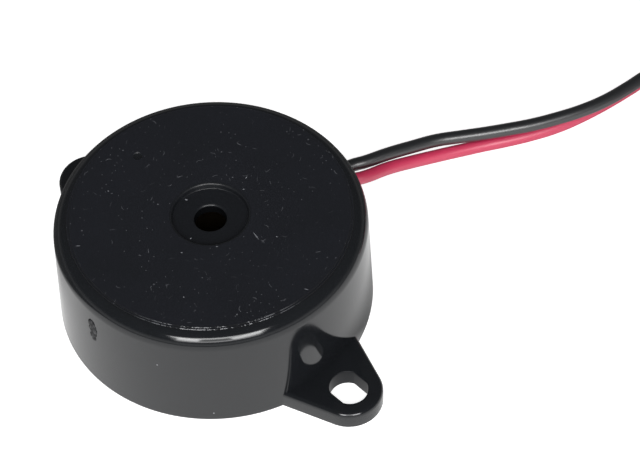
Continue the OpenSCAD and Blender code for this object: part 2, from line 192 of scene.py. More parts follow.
def settle(piece):
    """Puts the piece's place, turn and size into its mesh."""
    bpy.ops.object.select_all(action="DESELECT")
    piece.select_set(True)
    bpy.context.view_layer.objects.active = piece
    bpy.ops.object.transform_apply(location=True, rotation=True, scale=True)


def arc(centre_r, centre_z, radius, start, end, steps):
    """Points of a section's rounding, in mm, from one angle to another in degrees."""
    turns = [math.radians(start + (end - start) * i / steps) for i in range(steps + 1)]
    return [(centre_r + radius * math.cos(t), centre_z + radius * math.sin(t)) for t in turns]


def turned_solid(name, section, sides=360):
    """A solid drawn ring by ring along a half section of (radius, height) points in mm."""
    r, z = section[0]
    bpy.ops.mesh.primitive_circle_add(
        vertices=sides, radius=r * MM, location=(0, 0, z * MM), fill_type="NGON")
    piece = bpy.context.object
    piece.name = name
    settle(piece)
    start_edit(piece)
    bpy.ops.mesh.select_all(action="SELECT")
    for next_r, next_z in section[1:]:
        bpy.ops.mesh.extrude_edges_move(
            TRANSFORM_OT_translate={"value": (0, 0, (next_z - z) * MM)})
        bpy.ops.transform.resize(
            value=(next_r / r, next_r / r, 1), center_override=(0, 0, 0))
        r, z = next_r, next_z
    bpy.ops.mesh.edge_face_add()
    end_edit()
    return piece


def combine(piece, tool, operation):
    """Joins, cuts or intersects a piece with a tool, which is used up."""
    bpy.ops.object.select_all(action="DESELECT")
    piece.select_set(True)
    bpy.context.view_layer.objects.active = piece
    modifier = piece.modifiers.new("combine", "BOOLEAN")
    modifier.operation = operation
    modifier.solver = "EXACT"
    modifier.object = tool
    bpy.ops.object.modifier_apply(modifier=modifier.name)
    bpy.data.objects.remove(tool)


def mirrored(piece):
    """A copy on the other side of the plane between the two ears."""
    copy = piece.copy()
    copy.data = piece.data.copy()
    bpy.context.scene.collection.objects.link(copy)
    copy.scale.x = -1
    settle(copy)
    start_edit(copy)
    end_edit()
    return copy


# ---- Housing ----

BODY_H = 11.8
FOOT_BREAK = 0.1
TOP_R = 14.7
RIM_R = 1.6
SHOULDER_Z = 10.15
FIELD_R = 13.15
LAND_R = 13.36
LAND_Z = 11.755
WITNESS = 0.06
DISH_R = 3.82
DISH_Z = 11.2
DISH_EDGE = 0.25
DISH_SLOPE = 82
DISH_ROUND = 0.1
PORT_R = 1.5
PORT_ROUND = 0.25
CHAMBER_R = 12.0
CHAMBER_TOP = 10.2
CHAMBER_ROUND = 0.8
LEDGE_Z = 8.2
BORE_R = 13.65
SEAT_R = 14.15
SEAT_Z = 1.4
EAR_X = 18.0
EAR_T = 1.8
EAR_TIP_R = 3.2
EAR_ROOT_W = 9.6
EAR_EDGE_R = 0.45
SLOT_W = 3.1
SLOT_L = 3.7
SLOT_END_R = 1.7
SLOT_EDGE = 0.1
NOTCH_W = 2.9
NOTCH_TOP = 3.5
NOTCH_ROUND = 0.5
PIT_X = -10.05
PIT_R = 0.48
PIT_DEPTH = 0.15
# rings that keep the shading true beside a rounding, and small leans and ends of the section
FOOT_RING, RIM_RING, FIELD_RING, INNER_RING_R = 0.25, 0.2, 0.3, 9.0
LAND_LIP, GROOVE_LEAN, PORT_STOP = 0.09, 0.03, 0.5
EAR_SINK = 1.2
GATE_GRAIN, GATE_RELIEF, GATE_STAND, GATE_REACH = 0.12, 0.1, 0.004, 0.1
SLOT_MARGIN = 0.15
HAIR = 0.01


def wall_r(z):
    """Radius of the drafted wall at a height, in mm."""
    return BODY_R - (BODY_R - TOP_R) * z / SHOULDER_Z


def outside():
    """The drafted wall, the rounded rim, the raised field, the dish and the top of the port."""
    rim_centre_r = TOP_R - RIM_R
    fillet_end = math.degrees(math.acos((LAND_R + LAND_LIP - rim_centre_r) / RIM_R))
    section = [(BODY_R - FOOT_BREAK, 0)]
    section += arc(BODY_R - FOOT_BREAK, FOOT_BREAK, FOOT_BREAK, -60, 0, 2)
    section += [(wall_r(z), z) for z in (FOOT_RING, SHOULDER_Z / 2, SHOULDER_Z - RIM_RING)]
    section += arc(rim_centre_r, SHOULDER_Z, RIM_R, 0, fillet_end, 30)
    # the two witness lines round the field, where the mould's inserts meet
    half = WITNESS / 2
    section += [(LAND_R + half, LAND_Z - WITNESS), (LAND_R - half, LAND_Z)]
    section += [(FIELD_R + half + GROOVE_LEAN, LAND_Z), (FIELD_R + half, BODY_H - WITNESS)]
    section += [(r, BODY_H) for r in (FIELD_R - half, FIELD_R - FIELD_RING, INNER_RING_R)]
    # the dish: a rounded edge, a steep side and a small round into its floor
    slope = math.radians(DISH_SLOPE)
    drop = BODY_H - DISH_Z - (DISH_EDGE + DISH_ROUND) * (1 - math.cos(slope))
    floor_r = DISH_R - (DISH_EDGE + DISH_ROUND) * math.sin(slope) - drop / math.tan(slope)
    section += arc(DISH_R, BODY_H - DISH_EDGE, DISH_EDGE, 90, 90 + DISH_SLOPE, 10)
    section += arc(floor_r, DISH_Z + DISH_ROUND, DISH_ROUND, DISH_SLOPE - 90, -90, 8)
    section += arc(PORT_R + PORT_ROUND, DISH_Z - PORT_ROUND, PORT_ROUND, 90, 180, 8)
    section += [(PORT_R, CHAMBER_TOP - PORT_STOP)]
    return turned_solid("housing_shell", section)


def hollow():
    """What the core of the mould leaves: cover seat, bore, ledge and air chamber."""
    section = [(SEAT_R, -1), (SEAT_R, SEAT_Z), (BORE_R, SEAT_Z), (BORE_R, LEDGE_Z)]
    section += [(CHAMBER_R, LEDGE_Z)]
    section += arc(CHAMBER_R - CHAMBER_ROUND, CHAMBER_TOP - CHAMBER_ROUND, CHAMBER_ROUND, 0, 90, 8)
    return turned_solid("hollow", section)


def ear():
    """A tapered plate with a round tip and a rolled upper edge, its root sunk in the wall."""
    root_x = math.sqrt(BODY_R ** 2 - EAR_ROOT_W ** 2 / 4)
    run_x, run_y = root_x - EAR_X, EAR_ROOT_W / 2
    touch_a = math.atan2(run_y, run_x) - math.acos(EAR_TIP_R / math.hypot(run_x, run_y))
    touch_x, touch_y = EAR_X + EAR_TIP_R * math.cos(touch_a), EAR_TIP_R * math.sin(touch_a)
    inner_x = root_x - EAR_SINK
    inner_y = touch_y + (EAR_ROOT_W / 2 - touch_y) * (inner_x - touch_x) / (root_x - touch_x)
    bpy.ops.mesh.primitive_circle_add(vertices=160, radius=EAR_TIP_R * MM, location=(EAR_X * MM, 0, 0))
    piece = bpy.context.object
    settle(piece)
    from_x = (touch_x - 0.02) * MM
    kept = [v.co.copy() for v in piece.data.vertices if v.co.x >= from_x]
    end_x = min(at.x for at in kept)
    end_y = max(abs(at.y) for at in kept if at.x < end_x + 0.001 * MM)
    start_edit(piece, "VERT")
    pick(piece, "VERT", lambda at: at.x < from_x)
    bpy.ops.mesh.delete(type="VERT")
    pick(piece, "VERT", lambda at: at.x < end_x + 0.001 * MM)
    bpy.ops.mesh.extrude_vertices_move(
        TRANSFORM_OT_translate={"value": (inner_x * MM - end_x, 0, 0)})
    bpy.ops.transform.resize(value=(1, inner_y * MM / end_y, 1), center_override=(0, 0, 0))
    bpy.ops.mesh.edge_face_add()
    bpy.ops.mesh.select_all(action="SELECT")
    bpy.ops.mesh.edge_face_add()
    bpy.ops.mesh.extrude_region_move(TRANSFORM_OT_translate={"value": (0, 0, EAR_T * MM)})
    pick(piece, "EDGE", lambda at, run: at.z > (EAR_T - 0.01) * MM and at.x > (inner_x + 0.1) * MM)
    bpy.ops.mesh.bevel(offset=EAR_EDGE_R * MM, segments=8, profile=0.5, affect="EDGES")
    end_edit()
    return piece


def slot_cutter():
    """Two flats joined by shallow curved ends, flared where it meets the ear's top."""
    stretch = (SLOT_L / 2 - SLOT_END_R) * MM
    bpy.ops.mesh.primitive_circle_add(
        vertices=144, radius=SLOT_END_R * MM, location=(EAR_X * MM, 0, -1 * MM), fill_type="NGON")
    piece = bpy.context.object
    settle(piece)
    start_edit(piece, "VERT")
    for side in (-1, 1):
        pick(piece, "VERT", lambda at: (at.x - EAR_X * MM) * side > 0.01 * MM)
        bpy.ops.transform.translate(value=(side * stretch, 0, 0))
    for side in (-1, 1):
        bpy.ops.mesh.select_all(action="SELECT")
        bpy.ops.mesh.bisect(
            plane_co=(0, side * SLOT_W / 2 * MM, 0), plane_no=(0, side, 0),
            threshold=0.001 * MM, clear_outer=True)
    bpy.ops.mesh.select_all(action="SELECT")
    rise = 1 + EAR_T - SLOT_EDGE
    bpy.ops.mesh.extrude_region_move(TRANSFORM_OT_translate={"value": (0, 0, rise * MM)})
    steps, risen, grown = 4, 0, 0
    for i in range(1, steps + 1):
        t = math.radians(90 * i / steps)
        up, wider = SLOT_EDGE * math.sin(t) - risen, SLOT_EDGE * (1 - math.cos(t)) - grown
        risen, grown = risen + up, grown + wider
        bpy.ops.mesh.extrude_region_move(TRANSFORM_OT_translate={"value": (0, 0, up * MM)})
        share_x, share_y = 1 + wider / (SLOT_L / 2), 1 + wider / (SLOT_W / 2)
        bpy.ops.transform.resize(value=(share_x, share_y, 1), center_override=(EAR_X * MM, 0, 0))
    bpy.ops.mesh.extrude_region_move(TRANSFORM_OT_translate={"value": (0, 0, 0.5 * MM)})
    end_edit()
    return piece


def notch_cutter():
    """A block with two rounded upper edges, through the wall where the leads leave."""
    bpy.ops.mesh.primitive_cube_add(size=1, location=(0, BODY_R * MM, 0))
    piece = bpy.context.object
    piece.scale = (NOTCH_W * MM, 4 * MM, 2 * NOTCH_TOP * MM)
    settle(piece)
    start_edit(piece)
    pick(piece, "EDGE", lambda at, run: at.z > (NOTCH_TOP - 0.01) * MM and abs(run.y) > 1 * MM)
    bpy.ops.mesh.bevel(offset=NOTCH_ROUND * MM, segments=6, affect="EDGES")
    end_edit()
    return piece


def pit_cutter():
    """A small dished mark in the top face."""
    section = [(0.3, BODY_H - PIT_DEPTH), (PIT_R - 0.06, BODY_H - 0.09), (PIT_R, BODY_H)]
    section += [(PIT_R + 0.08, BODY_H + 0.1)]
    piece = turned_solid("pit", section, 48)
    piece.location.x = PIT_X * MM
    settle(piece)
    return piece


GATE_A, GATE_Z = math.radians(-91.0), 7.6
# the torn stub of a side gate: along the wall, up, radius and stand of each lump
GATE_LUMPS = [
    (-0.10, 0.95, 0.50, 0.16), (0.16, 0.55, 0.42, 0.12), (-0.14, 0.15, 0.44, 0.13),
    (0.30, 0.10, 0.30, 0.12), (0.10, -0.35, 0.42, 0.13), (-0.12, -0.75, 0.38, 0.11),
    (0.06, -1.05, 0.32, 0.12),
]


def gate_lump(along, up, radius, stand):
    """One rough lump of the gate's scar, flattened on to the wall."""
    azimuth, z = GATE_A + along / BODY_R, GATE_Z + up
    bpy.ops.mesh.primitive_ico_sphere_add(subdivisions=4, radius=radius * MM)
    piece = bpy.context.object
    piece.scale = (stand / radius, 0.8, 1.0)
    piece.rotation_euler = (math.radians(30), 0, azimuth)
    piece.location = (wall_r(z) * MM * math.cos(azimuth), wall_r(z) * MM * math.sin(azimuth), z * MM)
    settle(piece)
    grain = bpy.data.textures.new("torn", "CLOUDS")
    grain.noise_scale = GATE_GRAIN * MM
    rough = piece.modifiers.new("rough", "DISPLACE")
    rough.texture = grain
    rough.texture_coords = "GLOBAL"
    rough.strength = GATE_RELIEF * MM
    rough.mid_level = 0.5
    bpy.ops.object.modifier_apply(modifier=rough.name)
    return piece


def gate_scar():
    """The lumps joined to each other."""
    scar = gate_lump(*GATE_LUMPS[0])
    for lump in GATE_LUMPS[1:]:
        combine(scar, gate_lump(*lump), "UNION")
    return scar


def make_housing():
    """The whole moulding: outside, ears and gate scar joined, then the core's hollows cut."""
    shell = outside()
    right = ear()
    left = mirrored(right)
    slot = slot_cutter()
    far_slot = mirrored(slot)
    for tool in (right, left, gate_scar()):
        combine(shell, tool, "UNION")
    for tool in (hollow(), slot, far_slot, notch_cutter(), pit_cutter()):
        combine(shell, tool, "DIFFERENCE")
    start_edit(shell)
    bpy.ops.mesh.select_all(action="SELECT")
    bpy.ops.mesh.remove_doubles(threshold=SLIVER * MM)
    bpy.ops.object.mode_set(mode="OBJECT")
    bpy.ops.object.shade_smooth_by_angle(angle=math.radians(32))
    return shell


# ---- Materials ----

def shade(hex_colour):
    """An sRGB hex colour as the linear numbers that shaders take."""
    values = [int(hex_colour[i:i + 2], 16) / 255 for i in (1, 3, 5)]
    return [v / 12.92 if v <= 0.04045 else ((v + 0.055) / 1.055) ** 2.4 for v in values] + [1.0]


def add(tree, kind, settings=None, inputs=None):
    """Adds one node with its settings, and its inputs as values or links."""
    made = tree.nodes.new(kind)
    for key, value in (settings or {}).items():
        setattr(made, key, value)
    for key, value in (inputs or {}).items():
        if isinstance(value, bpy.types.NodeSocket):
            tree.links.new(value, made.inputs[key])
        else:
            made.inputs[key].default_value = value
    return made


def new_material(name):
    material = bpy.data.materials.new(name)
    material.use_nodes = True
    material.node_tree.nodes.clear()
    tree = material.node_tree
    place = add(tree, "ShaderNodeTexCoord").outputs["Object"]
    return material, tree, place


def finish_material(tree, surface):
    add(tree, "ShaderNodeOutputMaterial", inputs={"Surface": surface})


def per_mm(size):
    """A texture's scale for a feature of this size in mm."""
    return 1 / (size * MM)


def wave_per_mm(period):
    """A wave texture's scale for this period in mm: the texture has 20 radians a unit."""
    return 2 * math.pi / 20 / (period * MM)


def specks(tree, place, cell, size, share):
    """Scattered specks seen from above: 1 inside a speck, 0 elsewhere. Sizes in mm."""
    spots = add(tree, "ShaderNodeTexVoronoi", {"voronoi_dimensions": "2D"},
                {"Vector": place, "Scale": per_mm(cell)})
    inside = add(tree, "ShaderNodeMapRange", {"interpolation_type": "SMOOTHSTEP"}, {
        "Value": spots.outputs["Distance"], "From Min": size / cell, "From Max": 0.4 * size / cell,
        "To Min": 0.0, "To Max": 1.0})
    lot = add(tree, "ShaderNodeSeparateColor", inputs={"Color": spots.outputs["Color"]})
    kept = add(tree, "ShaderNodeMath", {"operation": "LESS_THAN"}, {0: lot.outputs["Red"], 1: share})
    return add(tree, "ShaderNodeMath", {"operation": "MULTIPLY"},
               {0: inside.outputs["Result"], 1: kept.outputs[0]}).outputs[0]


def fibres(tree, place, cell, curl, share):
    """Short curved hairs of lint: pieces of a noise's contour lines kept inside scattered spots."""
    flow = add(tree, "ShaderNodeTexNoise", {"noise_dimensions": "2D"},
               {"Vector": place, "Scale": per_mm(curl), "Detail": 0.0})
    level = add(tree, "ShaderNodeMath", {"operation": "SUBTRACT"}, {0: flow.outputs["Fac"], 1: 0.5})
    off = add(tree, "ShaderNodeMath", {"operation": "ABSOLUTE"}, {0: level.outputs[0]})
    line = add(tree, "ShaderNodeMapRange", inputs={
        "Value": off.outputs[0], "From Min": 0.02, "From Max": 0.005, "To Min": 0.0, "To Max": 1.0})
    where = specks(tree, place, cell, 0.35, share)
    return add(tree, "ShaderNodeMath", {"operation": "MULTIPLY"},
               {0: line.outputs["Result"], 1: where}).outputs[0]


# single scratches and stuck flecks: x, y, z of the middle, length, width, all in mm, and turn
FIELD_MARKS = [
    (4.95, 1.18, 11.8, 1.05, 0.08, -13), (-8.8, -4.8, 11.8, 0.16, 0.13, 0),
    (5.4, -8.3, 11.8, 0.15, 0.13, 0), (6.4, 2.45, 11.8, 0.14, 0.12, 0),
    (0.1, 4.2, 11.8, 0.22, 0.12, 60), (-0.75, 5.35, 11.8, 0.3, 0.08, 110),
    (3.3, -2.2, 11.8, 0.2, 0.1, 40), (1.5, -4.95, 11.8, 0.18, 0.1, 20),
    (-5.9, -11.1, 11.8, 0.45, 0.06, 47), (12.7, 0.1, 11.8, 0.4, 0.08, 30),
]
DISH_MARKS = [(-3.2, -0.1, 11.2, 0.26, 0.14, 20), (0.5, -2.95, 11.2, 0.1, 0.2, 20)]
WALL_MARKS = [(6.71, -13.17, 7.4, 0.13, 0.13, 0), (10.77, -10.4, 1.0, 0.13, 0.13, 0)]


def marks(tree, place, listed):
    """A list of scratches and flecks, each an ellipsoid: 1 inside them, 0 elsewhere."""
    total = None
    for x, y, z, length, width, turn in listed:
        local = add(tree, "ShaderNodeMapping", {"vector_type": "TEXTURE"}, {
            "Vector": place, "Location": (x * MM, y * MM, z * MM),
            "Rotation": (0, 0, math.radians(turn)),
            "Scale": (length / 2 * MM, width / 2 * MM, width / 2 * MM)})
        off = add(tree, "ShaderNodeVectorMath", {"operation": "LENGTH"}, {0: local.outputs[0]})
        mark = add(tree, "ShaderNodeMapRange", {"interpolation_type": "SMOOTHSTEP"}, {
            "Value": off.outputs["Value"], "From Min": 1.2, "From Max": 0.6,
            "To Min": 0.0, "To Max": 1.0}).outputs["Result"]
        total = mark if total is None else add(
            tree, "ShaderNodeMath", {"operation": "MAXIMUM"}, {0: total, 1: mark}).outputs[0]
    return total


def polished_abs():
    """Black ABS from a polished mould: a deep mirror gloss with a faint uneven haze."""
    material, tree, place = new_material("abs_polished")
    haze = add(tree, "ShaderNodeTexNoise", inputs={"Vector": place, "Scale": per_mm(2.5), "Detail": 3.0})
    roughness = add(tree, "ShaderNodeMapRange", inputs={
        "Value": haze.outputs["Fac"], "From Min": 0.3, "From Max": 0.7, "To Min": 0.07, "To Max": 0.11})
    tone = add(tree, "ShaderNodeMix", {"data_type": "RGBA"}, {
        0: haze.outputs["Fac"], 6: shade("#1c1e21"), 7: shade("#202225")})
    tone = add(tree, "ShaderNodeMix", {"data_type": "RGBA"}, {
        0: marks(tree, place, WALL_MARKS), 6: tone.outputs[2], 7: shade("#c4c6ca")})
    sink = add(tree, "ShaderNodeTexNoise", inputs={"Vector": place, "Scale": per_mm(6.0), "Detail": 1.0})
    bump = add(tree, "ShaderNodeBump", inputs={
        "Height": sink.outputs["Fac"], "Strength": 0.25, "Distance": 0.02 * MM})
    shader = add(tree, "ShaderNodeBsdfPrincipled", inputs={
        "Base Color": tone.outputs[2], "Roughness": roughness.outputs["Result"],
        "Normal": bump.outputs["Normal"], "IOR": 1.54, "Specular IOR Level": 0.6})
    finish_material(tree, shader.outputs[0])
    return material


def textured_abs():
    """Black ABS from a spark-eroded mould: a fine matte grain that has gathered dust and lint."""
    material, tree, place = new_material("abs_spark_textured")
    # the real grain is about 0.05 mm; it is drawn at 0.12 mm so that it shows
    grain = add(tree, "ShaderNodeTexNoise", inputs={"Vector": place, "Scale": per_mm(0.12), "Detail": 2.0})
    cloud = add(tree, "ShaderNodeTexNoise", inputs={"Vector": place, "Scale": per_mm(5.0), "Detail": 4.0})
    tone = add(tree, "ShaderNodeMix", {"data_type": "RGBA"}, {
        0: cloud.outputs["Fac"], 6: shade("#1a1c21"), 7: shade("#202229")})
    roughness = add(tree, "ShaderNodeMapRange", inputs={
        "Value": grain.outputs["Fac"], "To Min": 0.42, "To Max": 0.62})
    fine = specks(tree, place, 0.6, 0.06, 0.2)
    coarse = specks(tree, place, 2.4, 0.1, 0.3)
    lint = fibres(tree, place, 1.1, 1.3, 0.4)
    dust = add(tree, "ShaderNodeMath", {"operation": "MAXIMUM"}, {0: fine, 1: coarse})
    dust = add(tree, "ShaderNodeMath", {"operation": "MAXIMUM"}, {0: dust.outputs[0], 1: lint})
    # dust gathers in drifts
    drift = add(tree, "ShaderNodeTexNoise", inputs={"Vector": place, "Scale": per_mm(6.0), "Detail": 1.0})
    thick = add(tree, "ShaderNodeMapRange", inputs={
        "Value": drift.outputs["Fac"], "From Min": 0.42, "From Max": 0.62, "To Min": 0.08, "To Max": 0.55})
    cover = add(tree, "ShaderNodeMath", {"operation": "MULTIPLY"}, {
        0: dust.outputs[0], 1: thick.outputs["Result"]})
    cover = add(tree, "ShaderNodeMath", {"operation": "MAXIMUM"}, {
        0: cover.outputs[0], 1: marks(tree, place, FIELD_MARKS)})
    colour = add(tree, "ShaderNodeMix", {"data_type": "RGBA"}, {
        0: cover.outputs[0], 6: tone.outputs[2], 7: shade("#909298")})
    height = add(tree, "ShaderNodeMath", {"operation": "ADD"}, {0: grain.outputs["Fac"], 1: dust.outputs[0]})
    bump = add(tree, "ShaderNodeBump", inputs={
        "Height": height.outputs[0], "Strength": 0.5, "Distance": 0.01 * MM})
    shader = add(tree, "ShaderNodeBsdfPrincipled", inputs={
        "Base Color": colour.outputs[2], "Roughness": roughness.outputs["Result"],
        "Normal": bump.outputs["Normal"], "IOR": 1.54, "Specular IOR Level": 0.5})
    finish_material(tree, shader.outputs[0])
    return material


def satin_abs():
    """Black ABS off a plain milled core pin: a soft sheen, worn uneven, for the dish and port lip."""
    material, tree, place = new_material("abs_satin")
    grain = add(tree, "ShaderNodeTexNoise", inputs={"Vector": place, "Scale": per_mm(0.2), "Detail": 2.0})
    tone = add(tree, "ShaderNodeMix", {"data_type": "RGBA"}, {
        0: grain.outputs["Fac"], 6: shade("#191b1f"), 7: shade("#1e2024")})
    roughness = add(tree, "ShaderNodeMapRange", inputs={
        "Value": grain.outputs["Fac"], "To Min": 0.30, "To Max": 0.42})
    colour = add(tree, "ShaderNodeMix", {"data_type": "RGBA"}, {
        0: marks(tree, place, DISH_MARKS), 6: tone.outputs[2], 7: shade("#a4a6ac")})
    fine_bump = add(tree, "ShaderNodeBump", inputs={
        "Height": grain.outputs["Fac"], "Strength": 0.2, "Distance": 0.006 * MM})
    worn = add(tree, "ShaderNodeTexNoise", inputs={"Vector": place, "Scale": per_mm(0.9), "Detail": 2.0})
    bump = add(tree, "ShaderNodeBump", inputs={
        "Height": worn.outputs["Fac"], "Strength": 0.6, "Distance": 0.06 * MM,
        "Normal": fine_bump.outputs["Normal"]})
    shader = add(tree, "ShaderNodeBsdfPrincipled", inputs={
        "Base Color": colour.outputs[2], "Roughness": roughness.outputs["Result"],
        "Normal": bump.outputs["Normal"], "IOR": 1.54, "Specular IOR Level": 0.5})
    finish_material(tree, shader.outputs[0])
    return material


def plain_abs(name, dark, light, grain_size, relief, depth, roughness, level):
    """Black ABS with one even grain and one gloss all over; grain and depth are in mm."""
    material, tree, place = new_material(name)
    grain = add(tree, "ShaderNodeTexNoise", inputs={
        "Vector": place, "Scale": per_mm(grain_size), "Detail": 2.0})
    tone = add(tree, "ShaderNodeMix", {"data_type": "RGBA"}, {
        0: grain.outputs["Fac"], 6: shade(dark), 7: shade(light)})
    bump = add(tree, "ShaderNodeBump", inputs={
        "Height": grain.outputs["Fac"], "Strength": relief, "Distance": depth * MM})
    shader = add(tree, "ShaderNodeBsdfPrincipled", inputs={
        "Base Color": tone.outputs[2], "Roughness": roughness, "Normal": bump.outputs["Normal"],
        "IOR": 1.54, "Specular IOR Level": level})
    finish_material(tree, shader.outputs[0])
    return material


def port_abs():
    """Black ABS inside the port, off a matt pin: dull, and darkened with painted shade so that it looks like
    a shadow.
    """
    # painted shade: near-black tones stand in for the shade deep in the port
    return plain_abs("abs_port_painted_shade", "#08090b", "#0e0f12", 0.15, 0.5, 0.015, 0.8, 0.05)


def slot_abs():
    """Black ABS inside the ears' slots, off plain ground pins: a low, broad sheen."""
    return plain_abs("abs_slot", "#17191c", "#1d1f23", 0.3, 0.3, 0.01, 0.4, 0.24)


def cover_abs():
    """Black ABS with an even etched face, as a cover's outside is left: flat and soft."""
    return plain_abs("abs_cover", "#1b1b1e", "#252528", 0.15, 0.6, 0.015, 0.5, 0.5)


def core_abs():
    """Black ABS inside the body, off a turned core: dull, with faint turning rings."""
    material, tree, place = new_material("abs_core_side")
    rings = add(tree, "ShaderNodeTexWave", {"wave_type": "RINGS", "rings_direction": "Z"}, {
        "Vector": place, "Scale": wave_per_mm(0.4), "Distortion": 0.4})
    roughness = add(tree, "ShaderNodeMapRange", inputs={
        "Value": rings.outputs["Fac"], "To Min": 0.4, "To Max": 0.6})
    tone = add(tree, "ShaderNodeMix", {"data_type": "RGBA"}, {
        0: rings.outputs["Fac"], 6: shade("#161618"), 7: shade("#1d1d20")})
    bump = add(tree, "ShaderNodeBump", inputs={
        "Height": rings.outputs["Fac"], "Strength": 0.3, "Distance": 0.01 * MM})
    shader = add(tree, "ShaderNodeBsdfPrincipled", inputs={
        "Base Color": tone.outputs[2], "Roughness": roughness.outputs["Result"],
        "Normal": bump.outputs["Normal"], "IOR": 1.54})
    finish_material(tree, shader.outputs[0])
    return material


def witness_abs():
    """Black ABS peened along the mould's witness lines: broken glints in a dark line, glossier there and
    lightened with a painted highlight.
    """
    material, tree, place = new_material("abs_witness_line")
    # the real nicks are about 0.05 mm; they are drawn at 0.14 mm so that they show
    nicks = add(tree, "ShaderNodeTexNoise", inputs={"Vector": place, "Scale": per_mm(0.14), "Detail": 1.0})
    patches = add(tree, "ShaderNodeTexNoise", inputs={"Vector": place, "Scale": per_mm(0.8), "Detail": 1.0})
    both = add(tree, "ShaderNodeMath", {"operation": "MULTIPLY"}, {
        0: nicks.outputs["Fac"], 1: patches.outputs["Fac"]})
    glint = add(tree, "ShaderNodeMapRange", inputs={
        "Value": both.outputs[0], "From Min": 0.22, "From Max": 0.26, "To Min": 0.0, "To Max": 1.0})
    # painted highlight: the glints are kept to the side of the body that faces the key lamps
    toward_key_lamps = add(tree, "ShaderNodeVectorMath", {"operation": "DOT_PRODUCT"}, {
        0: place, 1: (0.77, -0.64, 0)})
    worn = add(tree, "ShaderNodeMapRange", inputs={
        "Value": toward_key_lamps.outputs["Value"], "From Min": 10.8 * MM, "From Max": 12.6 * MM,
        "To Min": 0.0, "To Max": 1.0})
    glint = add(tree, "ShaderNodeMath", {"operation": "MULTIPLY"}, {
        0: glint.outputs["Result"], 1: worn.outputs["Result"]})
    # painted highlight: where the glints are, the base colour is lightened from near black to grey
    tone = add(tree, "ShaderNodeMix", {"data_type": "RGBA"}, {
        0: glint.outputs[0], 6: shade("#17181b"), 7: shade("#5c5e63")})
    roughness = add(tree, "ShaderNodeMapRange", inputs={
        "Value": glint.outputs[0], "To Min": 1.0, "To Max": 0.22})
    bump = add(tree, "ShaderNodeBump", inputs={
        "Height": nicks.outputs["Fac"], "Strength": 0.8, "Distance": 0.03 * MM})
    shader = add(tree, "ShaderNodeBsdfPrincipled", inputs={
        "Base Color": tone.outputs[2], "Roughness": roughness.outputs["Result"],
        "Normal": bump.outputs["Normal"], "IOR": 1.54})
    finish_material(tree, shader.outputs[0])
    return material


def torn_abs():
    """Black ABS where the gate was broken off: dull and ragged, with pale stress marks."""
    material, tree, place = new_material("abs_torn")
    tear = add(tree, "ShaderNodeTexNoise", inputs={"Vector": place, "Scale": per_mm(0.25), "Detail": 3.0})
    pale = add(tree, "ShaderNodeMapRange", inputs={
        "Value": tear.outputs["Fac"], "From Min": 0.5, "From Max": 0.75, "To Min": 0.0, "To Max": 1.0})
    tone = add(tree, "ShaderNodeMix", {"data_type": "RGBA"}, {
        0: pale.outputs["Result"], 6: shade("#1a1a1c"), 7: shade("#6a6a6c")})
    bump = add(tree, "ShaderNodeBump", inputs={
        "Height": tear.outputs["Fac"], "Strength": 0.8, "Distance": 0.03 * MM})
    shader = add(tree, "ShaderNodeBsdfPrincipled", inputs={
        "Base Color": tone.outputs[2], "Roughness": 0.6, "Normal": bump.outputs["Normal"], "IOR": 1.54})
    finish_material(tree, shader.outputs[0])
    return material


def spacer_abs():
    """Dark grey ABS straight from a turned mould: a plain half gloss with fine rings."""
    material, tree, place = new_material("abs_spacer")
    rings = add(tree, "ShaderNodeTexWave", {"bands_direction": "Z"}, {
        "Vector": place, "Scale": wave_per_mm(0.2), "Distortion": 0.2})
    tone = add(tree, "ShaderNodeMix", {"data_type": "RGBA"}, {
        0: rings.outputs["Fac"], 6: shade("#27272a"), 7: shade("#2e2e31")})
    bump = add(tree, "ShaderNodeBump", inputs={
        "Height": rings.outputs["Fac"], "Strength": 0.3, "Distance": 0.01 * MM})
    shader = add(tree, "ShaderNodeBsdfPrincipled", inputs={
        "Base Color": tone.outputs[2], "Roughness": 0.38, "Normal": bump.outputs["Normal"], "IOR": 1.54})
    finish_material(tree, shader.outputs[0])
    return material


def extruded_pvc(name, dark, light, roughness):
    """Flexible PVC drawn through a die: a broad soft gloss, faint uneven tone and tiny pits."""
    material, tree, place = new_material(name)
    cloud = add(tree, "ShaderNodeTexNoise", inputs={"Vector": place, "Scale": per_mm(3.0), "Detail": 2.0})
    tone = add(tree, "ShaderNodeMix", {"data_type": "RGBA"}, {
        0: cloud.outputs["Fac"], 6: shade(dark), 7: shade(light)})
    pits = add(tree, "ShaderNodeTexNoise", inputs={"Vector": place, "Scale": per_mm(0.25), "Detail": 2.0})
    gloss = add(tree, "ShaderNodeMapRange", inputs={
        "Value": pits.outputs["Fac"], "To Min": roughness - 0.05, "To Max": roughness + 0.05})
    bump = add(tree, "ShaderNodeBump", inputs={
        "Height": pits.outputs["Fac"], "Strength": 0.25, "Distance": 0.01 * MM})
    shader = add(tree, "ShaderNodeBsdfPrincipled", inputs={
        "Base Color": tone.outputs[2], "Roughness": gloss.outputs["Result"],
        "Normal": bump.outputs["Normal"], "IOR": 1.53, "Specular IOR Level": 1.0,
        "Coat Weight": 1.0, "Coat Roughness": 0.42})
    finish_material(tree, shader.outputs[0])
    return material


